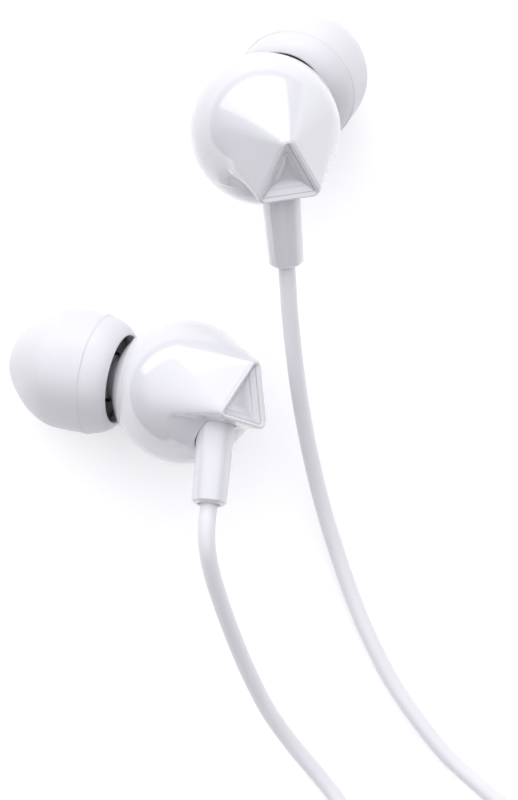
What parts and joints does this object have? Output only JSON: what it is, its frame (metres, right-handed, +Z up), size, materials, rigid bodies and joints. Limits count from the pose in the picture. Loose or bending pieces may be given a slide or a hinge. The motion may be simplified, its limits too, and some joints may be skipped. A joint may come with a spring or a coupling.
{
  "type": "wired earphones",
  "caption": "In-ear wired earphones with ball-shaped housings, triangular outer faces, pull-off silicone tips, a Y cord and a straight audio plug.",
  "frame": {"origin": "on the surface the earphones lie on, below the middle of the two earpieces' common box", "axes": "+Z up from the surface; +Y from the plug end towards the right earpiece, the longest way across the two earpieces; +X to the right when +Y is away from the viewer"},
  "size_m": [0.0555, 0.1595, 0.024],
  "materials": {
    "white_shell": "gloss",
    "white_silicone": "satin",
    "dark_core": "matte",
    "white_cord": "satin",
    "steel": "satin",
    "magnet": "polished",
    "copper": "satin",
    "film": "gloss",
    "dark_plastic": "matte",
    "foam": "matte",
    "board": "satin",
    "gold": "polished",
    "grey_tie": "matte"
  },
  "bodies": {
    "earphones": {"left_rear_shell": "white_shell", "left_triangle_cap": "white_shell", "left_stem": "white_shell", "left_cord_knot": "white_cord", "left_front_shell": "white_shell", "left_nozzle_mesh": "steel", "left_damping_felt": "foam", "left_driver_frame": "dark_plastic", "left_driver_yoke": "steel", "left_driver_magnet": "magnet", "left_driver_top_plate": "steel", "left_voice_coil": "copper", "left_diaphragm": "film", "left_driver_gasket": "foam", "left_terminal_board": "board", "right_rear_shell": "white_shell", "right_triangle_cap": "white_shell", "right_stem": "white_shell", "right_cord_knot": "white_cord", "right_front_shell": "white_shell", "right_nozzle_mesh": "steel", "right_damping_felt": "foam", "right_driver_frame": "dark_plastic", "right_driver_yoke": "steel", "right_driver_magnet": "magnet", "right_driver_top_plate": "steel", "right_voice_coil": "copper", "right_diaphragm": "film", "right_driver_gasket": "foam", "right_terminal_board": "board", "left_lead": "white_cord", "left_lead_coil": "white_cord", "left_lead_tail": "white_cord", "right_lead": "white_cord", "right_lead_coil": "white_cord", "right_lead_tail": "white_cord", "main_cord": "white_cord", "main_cord_coil": "white_cord", "main_cord_tail": "white_cord", "left_lead_tie": "grey_tie", "right_lead_tie": "grey_tie", "main_cord_tie": "grey_tie", "splitter_base": "white_shell", "splitter_cover": "white_shell", "splitter_crimp": "gold", "plug_strain_relief": "white_cord", "plug_grip": "white_shell", "plug_sleeve": "gold", "plug_rear_insulator": "dark_plastic", "plug_ring": "gold", "plug_front_insulator": "dark_plastic", "plug_tip": "gold"},
    "left_eartip": {"left_eartip_dome": "white_silicone", "left_eartip_core": "dark_core"},
    "right_eartip": {"right_eartip_dome": "white_silicone", "right_eartip_core": "dark_core"}
  },
  "joints": [
    {"name": "left_eartip_pull", "type": "slide", "parent": "earphones", "child": "left_eartip", "axis": [-0.9482, 0.1937, -0.2517], "range_m": [0, 0.005]},
    {"name": "right_eartip_pull", "type": "slide", "parent": "earphones", "child": "right_eartip", "axis": [0.3533, 0.5728, -0.7397], "range_m": [0, 0.005]}
  ]
}
